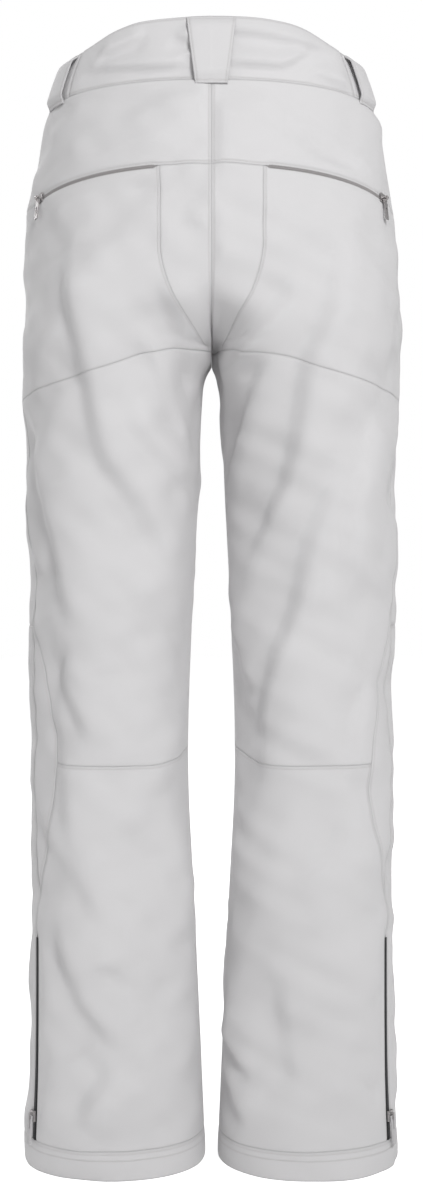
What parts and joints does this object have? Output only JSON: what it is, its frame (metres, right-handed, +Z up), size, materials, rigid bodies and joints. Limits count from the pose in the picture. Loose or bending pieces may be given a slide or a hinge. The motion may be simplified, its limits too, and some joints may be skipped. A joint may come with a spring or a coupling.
{
  "type": "ski pants",
  "caption": "Women's softshell ski trousers sewn from shaped panels, with zipped pockets, zipped hems, belt loops, a covered fly and a high back waistband.",
  "frame": {"origin": "on the ground under the middle of the pants, between the two hems", "axes": "+Z up from the hems to the waist, the wearer faces -Y, the wearer's left is +X"},
  "size_m": [0.3706, 0.2535, 1.085],
  "materials": {
    "shell_cloth": "matte bonded softshell, pale grey, fine plain weave",
    "lining_cloth": "soft brushed tricot lining",
    "dark_zip_tape": "dark woven zip tape with a closed coil",
    "pale_zip_tape": "pale water-resistant zip tape with a closed coil",
    "zip_metal": "satin grey zinc alloy",
    "pull_rubber": "pale moulded soft pull"
  },
  "bodies": {
    "pants": {"back_yoke_left": "shell_cloth", "back_yoke_right": "shell_cloth", "seat_panel_left": "shell_cloth", "seat_panel_right": "shell_cloth", "hip_panel_left": "shell_cloth", "hip_panel_right": "shell_cloth", "back_thigh_panel_left": "shell_cloth", "back_thigh_panel_right": "shell_cloth", "calf_panel_left": "shell_cloth", "calf_panel_right": "shell_cloth", "knee_gore_left": "shell_cloth", "knee_gore_right": "shell_cloth", "front_panel_left": "shell_cloth", "front_panel_right": "shell_cloth", "shin_panel_left": "shell_cloth", "shin_panel_right": "shell_cloth", "hem_band_left": "shell_cloth", "hem_band_right": "shell_cloth", "boot_gaiter_left": "lining_cloth", "boot_gaiter_right": "lining_cloth", "hand_pocket_bag_left": "lining_cloth", "hand_pocket_bag_right": "lining_cloth", "back_pocket_bag_left": "lining_cloth", "back_pocket_bag_right": "lining_cloth", "zip_gusset_left": "dark_zip_tape", "zip_gusset_right": "dark_zip_tape", "leg_zip_left": "dark_zip_tape", "leg_zip_right": "dark_zip_tape", "hand_pocket_zip_left": "dark_zip_tape", "hand_pocket_zip_right": "dark_zip_tape", "back_pocket_zip_left": "pale_zip_tape", "back_pocket_zip_right": "pale_zip_tape", "side_belt_loop_left": "shell_cloth", "side_belt_loop_right": "shell_cloth", "front_belt_loop_left": "shell_cloth", "front_belt_loop_right": "shell_cloth", "waistband_back": "shell_cloth", "waistband_front_left": "shell_cloth", "waistband_front_right": "shell_cloth", "waist_lining": "lining_cloth", "back_belt_loop": "shell_cloth", "fly_zip": "dark_zip_tape", "snap_stud": "zip_metal"},
    "leg_slider_left": {"leg_zip_slider_left": "zip_metal"},
    "leg_pull_left": {"leg_zip_pull_left": "pull_rubber"},
    "back_pocket_slider_left": {"back_pocket_slider_left": "zip_metal"},
    "back_pocket_pull_left": {"back_pocket_pull_left": "zip_metal"},
    "hand_pocket_slider_left": {"hand_pocket_slider_left": "zip_metal"},
    "hand_pocket_pull_left": {"hand_pocket_pull_left": "zip_metal"},
    "leg_slider_right": {"leg_zip_slider_right": "zip_metal"},
    "leg_pull_right": {"leg_zip_pull_right": "pull_rubber"},
    "back_pocket_slider_right": {"back_pocket_slider_right": "zip_metal"},
    "back_pocket_pull_right": {"back_pocket_pull_right": "zip_metal"},
    "hand_pocket_slider_right": {"hand_pocket_slider_right": "zip_metal"},
    "hand_pocket_pull_right": {"hand_pocket_pull_right": "zip_metal"},
    "fly_slider": {"fly_slider": "zip_metal"},
    "fly_pull": {"fly_pull": "zip_metal"},
    "front_flap": {"fly_flap": "shell_cloth", "waist_tab": "shell_cloth", "snap_cap": "zip_metal"}
  },
  "joints": [
    {"name": "leg_zip_left", "type": "slide", "parent": "pants", "child": "leg_slider_left", "axis": [-0.0148, -0.009, 0.9998], "range_m": [-0.024, 0.166]},
    {"name": "leg_pull_left", "type": "hinge", "parent": "leg_slider_left", "child": "leg_pull_left", "pos_m": [0.17342, 0.04494, 0.05005], "axis": [0.5544, -0.8322, 0.0007], "range_deg": [0, 150]},
    {"name": "back_pocket_zip_left", "type": "hinge", "parent": "pants", "child": "back_pocket_slider_left", "pos_m": [0.03329, -0.03835, 0.90813], "axis": [0, -0.1961, 0.9806], "range_deg": [0, 46.74]},
    {"name": "back_pocket_pull_left", "type": "hinge", "parent": "back_pocket_slider_left", "child": "back_pocket_pull_left", "pos_m": [0.16613, 0.05632, 0.92688], "axis": [0.5877, -0.7933, -0.1587], "range_deg": [0, 90]},
    {"name": "hand_pocket_zip_left", "type": "hinge", "parent": "pants", "child": "hand_pocket_slider_left", "pos_m": [-0.60882, -0.28166, 0.9061], "axis": [-0.2966, 0.9325, -0.2063], "range_deg": [0, 8.64]},
    {"name": "hand_pocket_pull_left", "type": "hinge", "parent": "hand_pocket_slider_left", "child": "hand_pocket_pull_left", "pos_m": [0.16806, -0.01633, 0.99579], "axis": [-0.2548, -0.96, 0.1158], "range_deg": [0, 150]},
    {"name": "leg_zip_right", "type": "slide", "parent": "pants", "child": "leg_slider_right", "axis": [0.0148, -0.009, 0.9998], "range_m": [-0.024, 0.166]},
    {"name": "leg_pull_right", "type": "hinge", "parent": "leg_slider_right", "child": "leg_pull_right", "pos_m": [-0.17342, 0.04494, 0.05005], "axis": [0.5544, 0.8322, -0.0007], "range_deg": [0, 150]},
    {"name": "back_pocket_zip_right", "type": "hinge", "parent": "pants", "child": "back_pocket_slider_right", "pos_m": [-0.03329, -0.03835, 0.90813], "axis": [0, 0.1961, -0.9806], "range_deg": [0, 46.74]},
    {"name": "back_pocket_pull_right", "type": "hinge", "parent": "back_pocket_slider_right", "child": "back_pocket_pull_right", "pos_m": [-0.16613, 0.05632, 0.92688], "axis": [0.5877, 0.7933, 0.1587], "range_deg": [0, 90]},
    {"name": "hand_pocket_zip_right", "type": "hinge", "parent": "pants", "child": "hand_pocket_slider_right", "pos_m": [0.60882, -0.28166, 0.9061], "axis": [-0.2966, -0.9325, 0.2063], "range_deg": [0, 8.64]},
    {"name": "hand_pocket_pull_right", "type": "hinge", "parent": "hand_pocket_slider_right", "child": "hand_pocket_pull_right", "pos_m": [-0.16806, -0.01633, 0.99579], "axis": [-0.2548, 0.96, -0.1158], "range_deg": [0, 150]},
    {"name": "fly_zip", "type": "hinge", "parent": "pants", "child": "fly_slider", "pos_m": [0, 0.35795, 0.91352], "axis": [1, 0, 0], "range_deg": [0, 12.31]},
    {"name": "fly_pull", "type": "hinge", "parent": "fly_slider", "child": "fly_pull", "pos_m": [0.00002, -0.11787, 0.99413], "axis": [-1, -0.0053, 0.0009], "range_deg": [0, 5]},
    {"name": "front_flap", "type": "hinge", "parent": "pants", "child": "front_flap", "pos_m": [0.014, -0.11985, 0.958], "axis": [0, 0.0852, 0.9964], "range_deg": [0, 90]}
  ]
}
